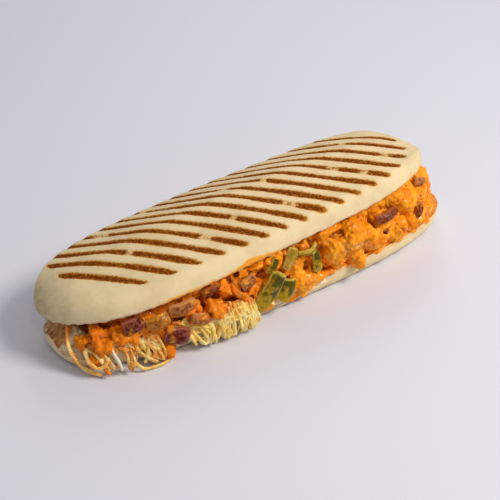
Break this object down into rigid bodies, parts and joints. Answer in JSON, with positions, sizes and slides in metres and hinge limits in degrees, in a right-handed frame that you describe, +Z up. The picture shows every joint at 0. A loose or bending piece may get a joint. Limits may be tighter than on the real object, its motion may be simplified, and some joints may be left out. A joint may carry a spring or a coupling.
{
  "type": "panini",
  "caption": "Long grilled roll cut through lengthways, with diagonal grill marks and a filling of sauced chicken, grated cheese, green pepper and red onion.",
  "frame": {"origin": "middle of the flat underside of the roll's bottom half", "axes": "+Z up, +X along the roll towards the end where the lid is lifted highest, -Y towards the open side"},
  "size_m": [0.2551, 0.0924, 0.0559],
  "materials": {
    "bread_crust": "pale matte bread crust with dark grill marks",
    "bread_crumb": "soft matte bread crumb and pale crust",
    "sauced_chicken": "wet orange sauce over torn chicken",
    "grated_cheese": "soft yellow grated cheese, a little oily",
    "green_pepper": "wet cooked pepper skin and flesh",
    "red_onion": "wet dark red onion",
    "cooked_onion": "wet pinkish brown cooked onion"
  },
  "bodies": {
    "root": {"bread_lid": "bread_crust", "bread_base": "bread_crumb", "chicken_filling": "sauced_chicken", "cheese_shreds": "grated_cheese", "pepper_strip": "green_pepper", "pepper_square": "green_pepper", "pepper_sliver": "green_pepper", "pepper_yellow": "green_pepper", "pepper_curl_top": "green_pepper", "pepper_curl_end": "green_pepper", "pepper_back_long": "green_pepper", "pepper_back_short": "green_pepper", "onion_purple": "red_onion", "onion_amber": "cooked_onion", "onion_maroon": "red_onion", "onion_pink": "cooked_onion", "onion_pink_small": "cooked_onion", "onion_brown": "red_onion", "onion_rose": "cooked_onion", "onion_crescent": "red_onion", "onion_edge": "red_onion", "onion_bit": "red_onion", "onion_far": "cooked_onion", "onion_back_dark": "red_onion", "onion_back_pale": "red_onion"}
  },
  "joints": []
}
